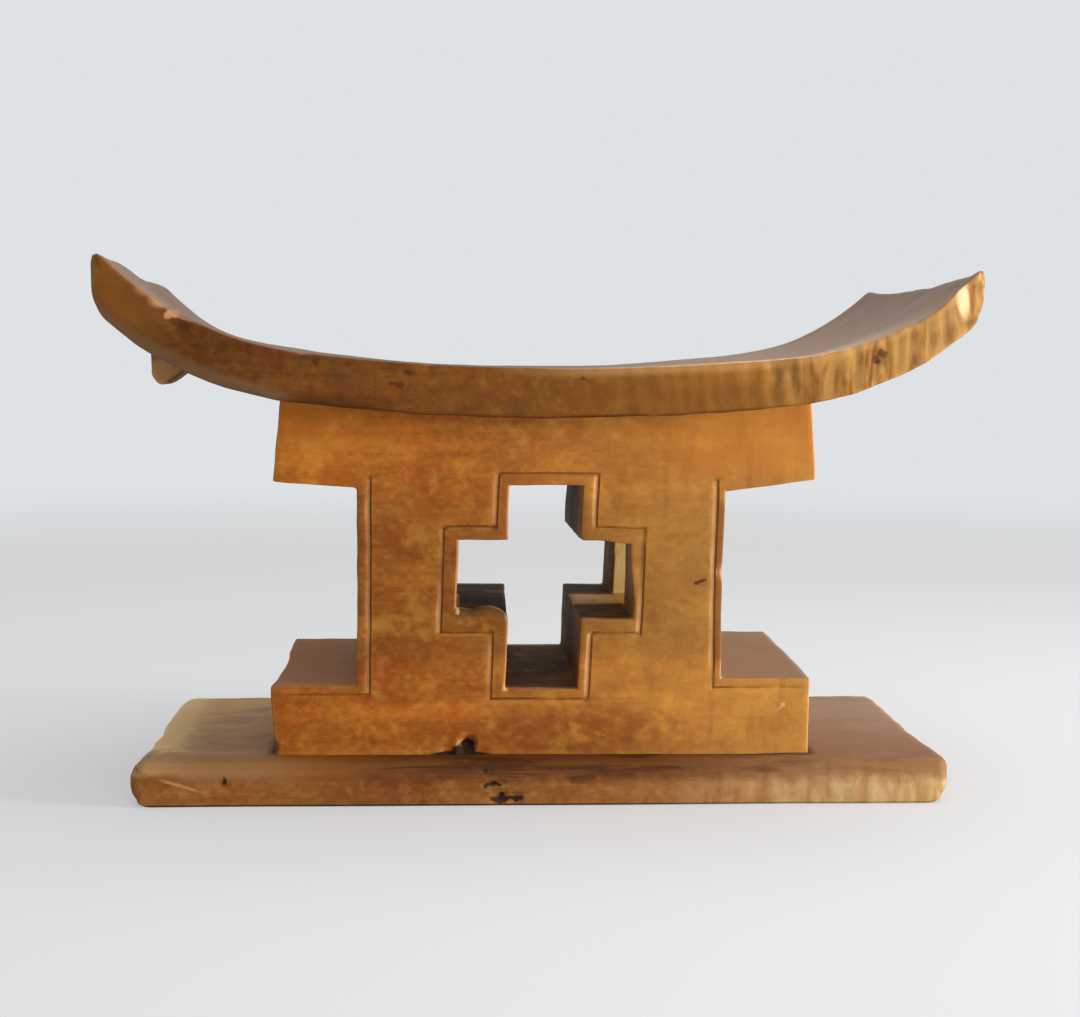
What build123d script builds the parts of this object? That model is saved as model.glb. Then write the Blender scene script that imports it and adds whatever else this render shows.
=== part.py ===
"""Asante (Ashanti) stool: a curved seat on a pierced support that stands on a flat base board.

Millimetres. X runs along the seat, Y from front to back, Z up.
The origin is the middle of the base board's underside, on the floor.
"""

from build123d import *
import os

os.makedirs("parts", exist_ok=True)

# ---------------------------------------------------------------- driving dimensions

# Floor to the top of the seat's middle
seat_height = 275.8

# Base board
base_length = 520.0
base_depth = 203.0
base_thickness = 28.5
base_corner_round = 9.0
base_top_round = 6.5
base_foot_round = 3.0

# Support: plinth, two posts and cap bar, all of one depth
support_depth = 164.0
plinth_length = 345.0
plinth_height = 47.5
left_post_reach = 120.0
right_post_reach = 114.5
cap_length = 343.5
cap_height = 46.1
cap_flare = 4.0
cap_end_lift = 6.0
support_edge_round = 2.5

# Cross opening from front to back, and the tunnel that crosses it from side to side
stem_width = 47.0
stem_sink = 5.0
stem_crown = 3.0
arm_span = 113.5
arm_height = 50.5
arm_rise = 4.25
side_tunnel_width = 66.0

# Seat
seat_length = 537.0
seat_depth = 266.0
seat_thickness = 29.7
seat_offset = -6.0
seat_tilt = 0.8
seat_middle_rise = 8.0
seat_tip_rise = 68.0
seat_end_height = 35.5
top_bend_length = 290.0
under_bend_length = 300.0
tip_round = 4.5
tip_under_round = 10.0
seat_edge_round = 3.5
dish_depth = 4.0
dish_rim = 8.0

# Lug under the left end of the seat
lug_inset = 15.0
lug_length = 46.0
lug_width = 34.0
lug_drop = 45.5
lug_slope = 22.0
lug_nose_round = 8.0
lug_edge_round = 3.5

# ---------------------------------------------------------------- levels and places

plinth_top = base_thickness + plinth_height
seat_underside = seat_height - seat_thickness
cap_bottom = seat_underside - cap_height
post_height = cap_bottom - plinth_top
arm_middle = plinth_top + post_height / 2 + arm_rise
arm_sill = arm_middle - arm_height / 2

seat_half_length = seat_length / 2
top_tip_level = seat_thickness + seat_tip_rise
under_tip_level = top_tip_level - seat_end_height
seat_place = Pos(seat_offset, 0, seat_underside) * Rot(X=-seat_tilt)

tool_margin = 20.0
on_its_foot = (Align.CENTER, Align.CENTER, Align.MIN)


# ---------------------------------------------------------------- shapes that pieces share

def front_prism(face, depth):
    """A face drawn in X and Z, made solid half a depth to the front and half to the back."""
    return extrude(Plane.XZ * face, amount=depth / 2, both=True)


def long_curve(middle_level, bend_length, tip_level):
    """A curve of the seat seen from the front: a gentle middle arc and a tighter arc to each tip."""
    bend_x = bend_length / 2
    bend_level = middle_level + seat_middle_rise
    middle = ThreePointArc((-bend_x, bend_level), (0, middle_level), (bend_x, bend_level))
    right_end = TangentArc((bend_x, bend_level), (seat_half_length, tip_level), tangent=middle % 1)
    left_end = mirror(right_end, Plane.YZ)
    return [left_end, middle, right_end]


def top_curve():
    """The seat's upper curve, in the seat's own frame: its underside's lowest point is at zero."""
    return long_curve(seat_thickness, top_bend_length, top_tip_level)


def under_curve():
    """The seat's lower curve, in the seat's own frame."""
    return long_curve(0, under_bend_length, under_tip_level)


def above_underside():
    """Everything over the seat's underside, in the seat's own frame: it trims what meets the seat."""
    lid_level = top_tip_level + tool_margin
    lid = Polyline(
        (seat_half_length, under_tip_level),
        (seat_half_length, lid_level),
        (-seat_half_length, lid_level),
        (-seat_half_length, under_tip_level),
    )
    return front_prism(make_face(under_curve() + lid.edges()), seat_depth)


def cross_opening():
    """The cross-shaped opening from front to back: a tall stem and a wider pair of arms."""
    opening_depth = support_depth + 2 * tool_margin
    stem_height = stem_sink + post_height + stem_crown
    stem = Box(stem_width, opening_depth, stem_height, align=on_its_foot)
    arms = Box(arm_span, opening_depth, arm_height, align=on_its_foot)
    return Pos(0, 0, plinth_top - stem_sink) * stem + Pos(0, 0, arm_sill) * arms


def side_tunnel():
    """The square tunnel from side to side, through both posts at the level of the cross's arms."""
    tunnel_length = 2 * (max(left_post_reach, right_post_reach) + tool_margin)
    return Pos(0, 0, arm_sill) * Box(tunnel_length, side_tunnel_width, arm_height, align=on_its_foot)


# ---------------------------------------------------------------- pieces

def base_board():
    """The flat board that stands on the floor, its corners and upper edge worn round."""
    board = Box(base_length, base_depth, base_thickness, align=on_its_foot)
    board = fillet(board.edges().filter_by(Axis.Z), base_corner_round)
    board = fillet(board.faces().sort_by(Axis.Z)[-1].edges(), base_top_round)
    return fillet(board.faces().sort_by(Axis.Z)[0].edges(), base_foot_round)


def plinth():
    """The long block on the base board: past the posts its top is a step at each end."""
    block = Box(plinth_length, support_depth, plinth_height, align=on_its_foot)
    corners = block.edges().filter_by(Axis.Z)
    step_ends = block.edges().filter_by(Axis.Y).group_by(Axis.Z)[-1]
    block = fillet(corners + step_ends, support_edge_round)
    return Pos(0, 0, base_thickness) * block - cross_opening()


def post(reach):
    """The right-hand upright between plinth and cap bar, with half the cross and the side tunnel."""
    block = Box(reach, support_depth, post_height, align=(Align.MIN, Align.CENTER, Align.MIN))
    outer_corners = block.edges().filter_by(Axis.Z).group_by(Axis.X)[-1]
    block = fillet(outer_corners, support_edge_round)
    return Pos(0, 0, plinth_top) * block - cross_opening() - side_tunnel()


def cap_bar():
    """The bar across the posts: its ends flare downwards and its top is hollowed for the seat."""
    top_level = seat_underside + top_tip_level
    flare_slope = cap_flare / cap_height
    foot_level = cap_bottom + cap_end_lift
    foot_x = cap_length / 2
    top_x = foot_x - flare_slope * (top_level - foot_level)
    outline = make_face(
        Polyline(
            (-left_post_reach, cap_bottom),
            (right_post_reach, cap_bottom),
            (foot_x, foot_level),
            (top_x, top_level),
            (-top_x, top_level),
            (-foot_x, foot_level),
            close=True,
        )
    )
    block = front_prism(outline, support_depth)
    for end in (block.faces().sort_by(Axis.X)[0], block.faces().sort_by(Axis.X)[-1]):
        upright_corners = end.edges().filter_by(Axis.Y, reverse=True)
        foot = end.edges().filter_by(Axis.Y).sort_by(Axis.Z)[0]
        block = fillet(upright_corners + [foot], support_edge_round)
    return block - seat_place * above_underside() - cross_opening()


def seat_dish():
    """The shallow hollow along the seat's top, from the front rim to the back rim."""
    path = Wire(Plane.XZ * Curve(top_curve()))
    rim = seat_depth / 2 - dish_rim
    floor = ThreePointArc((-rim, 0), (0, -dish_depth), (rim, 0))
    lid = Polyline((rim, 0), (rim, tool_margin), (-rim, tool_margin), (-rim, 0))
    section = make_face([floor] + lid.edges())
    return sweep(Plane(origin=path @ 0, x_dir=(0, -1, 0), z_dir=path % 0) * section, path)


def seat():
    """The seat: a long curve with plumb, rounded ends and a top dished from front to back."""
    right_end = Line((seat_half_length, top_tip_level), (seat_half_length, under_tip_level))
    left_end = mirror(right_end, Plane.YZ)
    outline = make_face(top_curve() + under_curve() + [left_end, right_end])
    for end in (0, -1):
        upper_corner = outline.vertices().group_by(Axis.X)[end].sort_by(Axis.Y)[-1]
        outline = fillet(upper_corner, tip_round)
        lower_corner = outline.vertices().group_by(Axis.X)[end].sort_by(Axis.Y)[0]
        outline = fillet(lower_corner, tip_under_round)
    blank = front_prism(outline, seat_depth)
    front_edges = blank.faces().sort_by(Axis.Y)[0].edges()
    back_edges = blank.faces().sort_by(Axis.Y)[-1].edges()
    blank = fillet(front_edges + back_edges, seat_edge_round)
    return seat_place * (blank - seat_dish())


def seat_lug():
    """The carved lug under the seat's left end, to lift or hang the stool by."""
    outer_x = -seat_half_length + lug_inset
    foot_level = under_tip_level - lug_drop
    foot_line = PolarLine((outer_x, foot_level), lug_length, lug_slope)
    inner_foot = foot_line @ 1
    lid = Polyline(
        inner_foot,
        (inner_foot.X, top_tip_level),
        (outer_x, top_tip_level),
        (outer_x, foot_level),
    )
    outline = make_face([foot_line] + lid.edges())
    nose = outline.vertices().group_by(Axis.X)[0].sort_by(Axis.Y)[0]
    blank = front_prism(fillet(nose, lug_nose_round), lug_width)
    side_edges = blank.faces().sort_by(Axis.Y)[0].edges() + blank.faces().sort_by(Axis.Y)[-1].edges()
    blank = fillet(side_edges, lug_edge_round)
    return seat_place * (blank - above_underside())


pieces = {
    "base_board": base_board(),
    "plinth": plinth(),
    "left_post": mirror(post(left_post_reach), Plane.YZ),
    "right_post": post(right_post_reach),
    "cap_bar": cap_bar(),
    "seat": seat(),
    "seat_lug": seat_lug(),
}

for name, piece in pieces.items():
    export_step(piece, f"parts/{name}.step")
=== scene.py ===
"""The looks of an Asante stool: hand-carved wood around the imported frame. Metres, in the frame's axes."""

import math

import bmesh
import bpy
from mathutils import Matrix, Vector, noise


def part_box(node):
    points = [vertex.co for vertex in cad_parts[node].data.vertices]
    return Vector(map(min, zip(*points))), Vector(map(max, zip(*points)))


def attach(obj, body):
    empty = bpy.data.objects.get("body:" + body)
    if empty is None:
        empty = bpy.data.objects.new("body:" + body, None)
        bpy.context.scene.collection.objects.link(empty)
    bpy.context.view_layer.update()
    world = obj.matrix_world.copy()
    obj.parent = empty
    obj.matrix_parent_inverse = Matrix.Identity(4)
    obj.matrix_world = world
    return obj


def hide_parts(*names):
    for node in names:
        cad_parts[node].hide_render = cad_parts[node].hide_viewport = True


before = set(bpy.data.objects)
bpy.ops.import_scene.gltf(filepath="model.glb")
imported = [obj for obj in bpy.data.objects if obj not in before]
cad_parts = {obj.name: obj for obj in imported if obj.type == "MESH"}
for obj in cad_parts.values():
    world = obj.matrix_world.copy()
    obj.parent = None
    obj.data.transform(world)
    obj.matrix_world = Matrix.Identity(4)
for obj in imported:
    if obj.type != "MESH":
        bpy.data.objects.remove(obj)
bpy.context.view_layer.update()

MM = 0.001
noise.seed_set(5)

# ---------------- sizes from the frame

BASE_LOW, BASE_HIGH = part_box("base_board")
PLINTH_LOW, PLINTH_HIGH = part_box("plinth")
LEFT_POST_LOW, LEFT_POST_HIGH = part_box("left_post")
RIGHT_POST_LOW, RIGHT_POST_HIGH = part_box("right_post")
CAP_LOW, CAP_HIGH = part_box("cap_bar")
SEAT_LOW, SEAT_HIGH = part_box("seat")
LUG_LOW, LUG_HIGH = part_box("seat_lug")


# ---------------- camera

EYE = Vector((-67.4, -1155.7, 293.0)) * MM
HEADING, DIP, LEAN = 0.0588, 0.0973, 0.0102
FOCAL_OVER_WIDTH = 1700 / 1080
SENSOR_WIDTH = 36


def add_camera():
    """The eye stands in front of the stool, a little to its left and just above the seat's middle."""
    camera = bpy.data.objects.new("camera", bpy.data.cameras.new("camera"))
    bpy.context.scene.collection.objects.link(camera)
    camera.data.sensor_width = SENSOR_WIDTH
    camera.data.lens = SENSOR_WIDTH * FOCAL_OVER_WIDTH
    turn = Matrix.Rotation(-HEADING, 4, "Z") @ Matrix.Rotation(math.pi / 2 - DIP, 4, "X")
    camera.matrix_world = Matrix.Translation(EYE) @ turn @ Matrix.Rotation(LEAN, 4, "Z")
    bpy.context.scene.camera = camera


# ---------------- shader toolkit

SHAKE_WAVES, SHAKE_REACH = 130.0, 10 * MM
SPOT_CORE = 0.35


class Value:
    """An output socket of a node tree: arithmetic on it adds Math nodes."""

    def __init__(self, nodes, socket):
        self.nodes = nodes
        self.socket = socket

    def math(self, operation, first, second):
        return self.nodes.node("ShaderNodeMath", {"operation": operation}, {0: first, 1: second})

    def __add__(self, other):
        return self.math("ADD", self, other)

    def __radd__(self, other):
        return self.math("ADD", other, self)

    def __sub__(self, other):
        return self.math("SUBTRACT", self, other)

    def __rsub__(self, other):
        return self.math("SUBTRACT", other, self)

    def __mul__(self, other):
        return self.math("MULTIPLY", self, other)

    def __rmul__(self, other):
        return self.math("MULTIPLY", other, self)


class Nodes:
    """Adds nodes to one tree."""

    def __init__(self, tree):
        self.tree = tree

    def node(self, kind, settings=None, inputs=None, output=0):
        """Adds a node: its settings first, then the values or links of its sockets."""
        made = self.tree.nodes.new(kind)
        for setting, value in (settings or {}).items():
            setattr(made, setting, value)
        for socket, value in (inputs or {}).items():
            self.feed(made.inputs[socket], value)
        return Value(self, made.outputs[output])

    def feed(self, socket, value):
        """Links a value to a socket, or sets the socket to a constant."""
        if isinstance(value, Value):
            self.tree.links.new(value.socket, socket)
        else:
            socket.default_value = value

    def vector_math(self, operation, *values, output="Vector"):
        inputs = dict(enumerate(values))
        return self.node("ShaderNodeVectorMath", {"operation": operation}, inputs, output)


class Finish(Nodes):
    """A material under construction."""

    def __init__(self, name):
        self.material = bpy.data.materials.new(name)
        self.material.use_nodes = True
        super().__init__(self.material.node_tree)
        self.shader = self.tree.nodes["Principled BSDF"]
        self.place = self.node("ShaderNodeTexCoord", output="Object")
        self.shaken_place = None

    def set(self, name, value):
        """Feeds a socket of the main shader."""
        self.feed(self.shader.inputs[name], value)

    def cloud(self, scale, detail=4.0, rough=0.55, swirl=0.0, turn=(0, 0, 0)):
        """Soft noise from 0 to 1; scale is in waves per metre along X, Y and Z."""
        stretched = {"Vector": self.place, "Rotation": turn, "Scale": scale}
        inputs = {
            "Vector": self.node("ShaderNodeMapping", None, stretched),
            "Scale": 1.0,
            "Detail": detail,
            "Roughness": rough,
            "Distortion": swirl,
        }
        return self.node("ShaderNodeTexNoise", None, inputs)

    def between(self, value, low, high):
        """0 below low, 1 above high and smooth between them; it falls where low is the greater."""
        inputs = {"Value": value, "From Min": low, "From Max": high}
        return self.node("ShaderNodeMapRange", {"interpolation_type": "SMOOTHSTEP"}, inputs)

    def blend(self, under, over, mask, mode="MIX"):
        """One colour laid over another where the mask is 1."""
        settings = {"data_type": "RGBA", "blend_type": mode}
        return self.node("ShaderNodeMix", settings, {0: mask, 6: under, 7: over}, output=2)

    def along(self, axis):
        """The X, Y or Z of the point."""
        return self.node("ShaderNodeSeparateXYZ", None, {0: self.place}, output=axis)

    def facing(self, axis):
        """How far the surface faces along an axis, from -1 to 1."""
        normal = self.node("ShaderNodeTexCoord", output="Normal")
        return self.node("ShaderNodeSeparateXYZ", None, {0: normal}, output=axis)

    def attribute(self, name):
        return self.node("ShaderNodeAttribute", {"attribute_name": name}, output="Fac")

    def ragged_place(self):
        """Object coordinates shaken by fine noise, so that spots get ragged outlines."""
        if self.shaken_place is None:
            fine = {"Vector": self.place, "Scale": SHAKE_WAVES, "Detail": 1.5, "Roughness": 0.5}
            shake = self.node("ShaderNodeTexNoise", None, fine, output="Color")
            centred = self.vector_math("SUBTRACT", shake, (0.5, 0.5, 0.5))
            reach = (SHAKE_REACH, SHAKE_REACH, SHAKE_REACH)
            self.shaken_place = self.vector_math("MULTIPLY_ADD", centred, reach, self.place)
        return self.shaken_place

    def spot(self, x, y, z, size, strength=1, outline="ragged"):
        """A spot in millimetres: its strength inside, fading to 0 at its size along X, Y and Z."""
        centre = Vector((x, y, z)) * MM
        extent = Vector(size) * MM
        place = self.ragged_place() if outline == "ragged" else self.place
        offset = self.vector_math("SUBTRACT", place, centre)
        scaled = self.vector_math("DIVIDE", offset, extent)
        reach = self.vector_math("LENGTH", scaled, output="Value")
        inside = 1 - self.between(reach, SPOT_CORE, 1.0)
        return inside if strength == 1 else inside * strength


def tone(red, green, blue):
    """A colour written as 0 to 255 on the screen, for a shader socket."""
    linear = [((part / 255 + 0.055) / 1.055) ** 2.4 for part in (red, green, blue)]
    return (*linear, 1.0)


# ---------------- wood

class Wood(Finish):
    """A wood finish: its colour so far, its mottling, and how free it is of dirt and painted light, from 0
    to 1.
    """

    def __init__(self, name, pale, deep, dark, worn):
        super().__init__(name)
        self.across = self.along("X")
        self.depth = self.along("Y")
        self.height = self.along("Z")
        self.mottle = self.cloud((80, 110, 110), detail=4, rough=0.6, swirl=0.3)
        self.specks = self.cloud((210, 250, 250), detail=2, rough=0.5)
        self.fibres = self.cloud((15, 290, 290), detail=3, rough=0.6)
        self.pores = self.cloud((90, 1300, 1300), detail=2)
        self.colour = deep
        self.add_grain(pale, dark, worn)
        self.clean = self.add_wear(worn)
        self.add_relief()
        self.set("Specular IOR Level", 0.12)

    def lay(self, over, mask, mode="MIX"):
        """Lays a colour over the wood where the mask is 1."""
        self.colour = self.blend(self.colour, over, mask, mode)

    def mark(self, over, spots, low, high, strength):
        """Lays a colour over a list of spots: none where their sum is low, full where it is high."""
        made = [self.spot(*spot) for spot in spots]
        self.lay(over, self.between(sum(made[1:], made[0]), low, high) * strength)

    def add_grain(self, pale, dark, worn):
        """Lays on the wood's own figure, from broad bands down to pores."""
        figure = self.cloud((5, 24, 24), detail=4, swirl=1.0)
        blotches = self.cloud((34, 48, 48), detail=3, rough=0.5, swirl=0.6)
        ruddy = self.cloud((30, 44, 44), detail=3, rough=0.55, swirl=0.8, turn=(0.4, 0.3, 0.2))
        bands = figure * 0.45 + blotches * 0.35 + self.mottle * 0.2
        drifts = self.mottle * 0.5 + blotches * 0.5
        self.lay(pale, self.between(bands, 0.41, 0.59))
        self.lay(dark, self.between(drifts, 0.51, 0.68) * 0.55)
        self.lay(worn, self.between(drifts, 0.48, 0.34) * 0.35)
        self.lay(dark, self.between(self.fibres, 0.50, 0.76) * 0.35)
        self.lay(dark, self.between(self.pores, 0.60, 0.70) * 0.3)
        self.lay(worn, self.between(self.specks, 0.50, 0.74) * 0.24)
        self.lay(dark, self.between(self.specks, 0.50, 0.28) * 0.24)
        self.lay(tone(250, 224, 206), self.between(ruddy, 0.44, 0.62) * 0.7, "MULTIPLY")

    def add_wear(self, worn):
        """Lays on rubbed edges, grime, dirt with painted shade, painted deep shadow in black and a painted
        pool of light; returns how free the wood is of dirt and painted light.
        """
        wear = self.attribute("wear")
        dirt_and_painted_light = self.attribute("dirt_and_painted_light")
        rubbed = self.between(wear + self.mottle * 0.25, 0.30, 0.75)
        grimy = self.between(0 - wear, 0.15, 1.0)
        dirt_and_painted_shade = self.between(dirt_and_painted_light + self.mottle * 0.5 - 0.25, 0.0, 1.0)
        painted_light_pool = self.between(dirt_and_painted_light, -0.1, -1.0)
        level = self.between(self.facing("Z"), 0.4, 0.8)
        self.lay(worn, rubbed * 0.3)
        self.lay(tone(58, 28, 12), grimy * 0.4)
        # dirt, with painted shade in the cross's hollows and painted contact shadow at the feet, from the
        # same mark
        self.lay(tone(44, 28, 18), dirt_and_painted_shade * 0.96)
        # painted deep shadow: near black where the mark passes 1.1, on the left arm's sill
        self.lay(tone(14, 7, 7), self.between(dirt_and_painted_light, 1.1, 1.5) * 0.8)
        # painted light: a bright pool in the side tunnel and on a strip of the right arm's sill
        self.lay(self.blend(tone(255, 218, 146), tone(255, 188, 108), level), painted_light_pool)
        self.set("Roughness", 0.5 + self.mottle * 0.14 + dirt_and_painted_shade * 0.2 - rubbed * 0.05)
        return (1 - dirt_and_painted_shade) * (1 - painted_light_pool)

    def add_relief(self):
        """Raises fine bumps that follow the fibres, the mottling and the pores."""
        pits = self.between(self.pores, 0.6, 0.72) * 0.4
        relief = self.fibres * 0.5 + self.mottle * 0.35 + self.specks * 0.15 - pits
        inputs = {"Strength": 0.4, "Distance": 0.5 * MM, "Height": relief}
        self.set("Normal", self.node("ShaderNodeBump", None, inputs))

    def front(self):
        """1 on surfaces that face forward."""
        return self.between(-0.35 - self.facing("Y"), 0.0, 0.3)

    def done(self):
        """Gives the shader its colour and returns the material."""
        self.set("Base Color", self.colour)
        return self.material


# ---------------- the support's wood

# Each spot: x, y, z, its size along each axis, then its strength and outline where it isn't 1 and ragged.
KNOT_HOLE = [
    (-49, -82, 35.5, (5.4, 26, 5)),
    (-51, -82, 31.5, (9.5, 26, 4.4)),
    (-54, -82, 29, (28, 24, 3), 0.7, "even"),
]
SUPPORT_CHIPS = [
    (-24.5, -82, 73, (2.6, 6, 4.4), 1, "even"),
    (-56, -82, 122, (1.8, 6, 3.6)),
    (154, -82, 60, (2.2, 6, 2.6), 0.6),
]
POST_NICK = [
    (97, -82, 140.4, (2.8, 6, 1.8), 1, "even"),
    (99.6, -82, 141.4, (2.6, 6, 1.5), 1, "even"),
    (102, -82, 142.4, (2.2, 6, 1.2), 0.8, "even"),
]


def shade_support(wood, to_right):
    """Yellower to the right, partly the wood's own tone and partly painted light from the right; a ruddy
    foot, dark streaks and pale rubs.
    """
    # partly the wood's tone, partly painted light from the right
    wood.lay(tone(190, 144, 70), to_right * 0.5)
    ruddy = wood.spot(22, -82, 44, (96, 30, 26))
    wood.lay(tone(112, 54, 12), ruddy * wood.between(wood.mottle, 0.15, 0.7) * 0.8)
    streaks = wood.cloud((90, 12, 16), detail=3, swirl=0.6)
    wood.lay(tone(118, 62, 18), wood.between(streaks, 0.5, 0.74) * to_right * 0.42)
    rubs = wood.cloud((38, 30, 46), detail=4, rough=0.65, swirl=0.3)
    wood.lay(tone(206, 144, 56), wood.between(rubs, 0.5, 0.7) * 0.34)
    wood.lay(tone(132, 70, 18), wood.between(rubs, 0.5, 0.3) * 0.3)


def shade_posts_and_cap(wood):
    """Slightly darker posts, a warmer right end of the cap bar, and painted light at the cap bar's left end
    that lifts the seat's shadow.
    """
    posts = wood.between(wood.height, 0.078, 0.1) * wood.between(0.205 - wood.height, 0.0, 0.02)
    wood.lay(tone(228, 234, 236), posts, "MULTIPLY")
    # painted light: lifts the shadow that the seat casts on the cap bar's left end
    cap_left_painted_light = wood.between(-0.05 - wood.across, 0.0, 0.1) * wood.between(wood.height, 0.2, 0.235)
    wood.lay(tone(196, 116, 32), cap_left_painted_light * 0.4)
    cap_right = wood.between(wood.across, 0.03, 0.12) * wood.between(wood.height, 0.2, 0.22)
    wood.lay(tone(178, 104, 28), cap_right * 0.45)


def shade_support_edges(wood, to_right):
    """Dust and painted sheen on the level tops, a painted highlight on edges that face right and painted
    shade on edges that face left and down.
    """
    top = wood.between(wood.facing("Z"), 0.4, 0.8)
    # dust and painted sheen on the level tops, greyer to the right
    dust_and_painted_light = wood.blend(tone(178, 120, 60), tone(166, 134, 104), to_right)
    wood.lay(dust_and_painted_light, top * wood.clean * (0.65 + wood.mottle * 0.4))
    edge = wood.between(-0.2 - wood.facing("Y"), 0.0, 0.2) * wood.clean
    # painted highlight on edges and groove walls that face the light from the right
    painted_highlight_edge = wood.between(wood.facing("X"), 0.15, 0.4) * edge
    wood.lay(tone(224, 168, 114), painted_highlight_edge * (0.46 + to_right * 0.22))
    # painted shade on edges that face left and down, away from the light
    painted_shade_edge = wood.between(0 - wood.facing("X") - wood.facing("Z"), 0.25, 0.6) * edge
    wood.lay(tone(92, 50, 20), painted_shade_edge * 0.55)


def shade_right_margin(wood):
    """The narrow strip between the right post's incised line and its edge is darker."""
    past_line = wood.between(wood.across, 0.1085, 0.1105)
    margin = past_line * wood.between(wood.height + wood.mottle * 0.01, 0.088, 0.098)
    margin = margin * wood.between(0.196 - wood.height, 0.0, 0.008) * wood.front()
    wood.lay(tone(118, 68, 30), margin * 0.8)


def support_finish():
    """Smoothly scraped orange-brown wood, paler and yellower towards the right, partly its own tone and
    partly painted light.
    """
    grain = tone(176, 104, 30), tone(140, 76, 14), tone(106, 52, 10)
    wood = Wood("support_wood", *grain, worn=tone(196, 132, 60))
    to_right = wood.between(wood.across + wood.mottle * 0.10, -0.04, 0.24)
    shade_support(wood, to_right)
    shade_posts_and_cap(wood)
    shade_support_edges(wood, to_right)
    shade_right_margin(wood)
    wood.mark(tone(16, 9, 7), KNOT_HOLE, 0.15, 0.6, 0.95)
    wood.mark(tone(226, 182, 130), SUPPORT_CHIPS, 0.1, 0.9, 0.6)
    wood.mark(tone(70, 34, 12), POST_NICK, 0.1, 0.8, 0.9)
    return wood.done()


# ---------------- the seat's wood

SEAT_HOLES = [
    (196, -133, 285, (4.4, 12, 4.4)),
    (201, -133, 288.5, (4, 12, 3.4), 0.8),
    (-144, -133, 280.6, (3.6, 8, 1.8)),
    (-88, -133, 274, (3.6, 8, 1.8), 0.8),
    (-95, -133, 267, (6, 8, 2.2)),
    (18.6, -133, 272, (3, 8, 2)),
]
TIP_STREAK = [
    (255.4, -132, 321, (2.4, 8, 14), 1, "even"),
    (261.5, -132, 316, (2.4, 8, 9), 0.6),
]
# Painted shadow: a dark line under the chip in the left notch.
NOTCH_SHADOW_LINE = [
    (-228.5, -131, 307, (8, 9, 2.6)),
    (-222, -131, 301.5, (5, 8, 2.6)),
]
# A painted highlight on the facet at the right tip, and a small chip further in.
TIP_CHIP_AND_HIGHLIGHT = [
    (248.5, -132, 323, (5.6, 8, 13), 1, "even"),
    (250.5, -132, 316.5, (4.6, 8, 12), 0.7, "even"),
    (221.5, -132, 309, (3.4, 8, 2.4), 0.8),
]
# Painted light on the upturned face of the chip in the left notch.
NOTCH_PAINTED_LIGHT = [
    (-242, -130, 322, (12, 9, 7.5), 0.5, "even"),
    (-234, -130, 315, (11, 9, 6.5), 0.7, "even"),
    (-226.5, -130, 308, (8, 10, 5.4)),
]
LUG_WOOD = [(-246, 0, 270, (30, 34, 22))]


def shade_seat_front(wood, front):
    """The front edge grows paler to the right, with fine upright knife marks all along it."""
    centre = wood.between(wood.across + wood.mottle * 0.08, -0.07, 0.06)
    wood.lay(tone(112, 67, 11), front * centre * 0.6)
    right_half = wood.between(wood.across + wood.mottle * 0.06, 0.01, 0.15)
    wood.lay(tone(156, 102, 32), front * right_half * 0.42)
    knife_marks = wood.cloud((70, 8, 60), detail=5, rough=0.7, swirl=0.12)
    pale_marks = wood.between(knife_marks, 0.5, 0.72) * wood.between(wood.across, -0.14, 0.0)
    wood.lay(tone(158, 108, 38), front * pale_marks * 0.4)
    wood.lay(tone(72, 38, 5), front * wood.between(knife_marks, 0.5, 0.28) * 0.5)


def shade_adze_cuts(wood, front, to_right, patches):
    """Golden cuts at the right, between a pale upper rim and a browner, darker-cut hollow."""
    cuts = wood.cloud((95, 6, 22), detail=4, rough=0.6, swirl=0.8, turn=(0, 0.06, 0))
    cut_tone = wood.between(cuts * 0.7 + patches * 0.3, 0.38, 0.58)
    golden = wood.blend(tone(120, 70, 20), tone(180, 136, 72), cut_tone)
    right_end = wood.between(wood.across + wood.mottle * 0.02, 0.225, 0.245)
    golden = wood.blend(golden, tone(214, 172, 112), right_end * 0.22)
    wood.lay(golden, front * to_right * 0.85)
    share = wood.attribute("share")
    rim = wood.between(share + wood.mottle * 0.1, 0.80, 0.98) * wood.between(wood.across, -0.05, 0.05)
    wood.lay(tone(206, 156, 96), front * rim * 0.36)
    below_rim = wood.between(share + wood.mottle * 0.2, 0.75, 0.5)
    hollow = below_rim * wood.between(0.17 - wood.across, 0.0, 0.06)
    to_middle = wood.between(wood.across, -0.04, 0.10)
    wood.lay(tone(112, 66, 14), front * hollow * to_middle * 0.5)
    dark_cuts = wood.between(cuts, 0.52, 0.72) * wood.between(patches, 0.35, 0.6)
    wood.lay(tone(84, 42, 12), front * to_middle * dark_cuts * 0.5)


def shade_left_tip(wood, front):
    """The left tip is rubbed to a yellower brown."""
    tip = wood.between(-0.270 - wood.across + wood.mottle * 0.006, 0.0, 0.008)
    wood.lay(tone(150, 112, 52), front * tip * 0.7)
    near_tip = wood.between(-0.236 - wood.across + wood.mottle * 0.03, 0.0, 0.03)
    wood.lay(tone(128, 80, 26), front * near_tip * (1 - tip) * 0.5)


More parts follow.
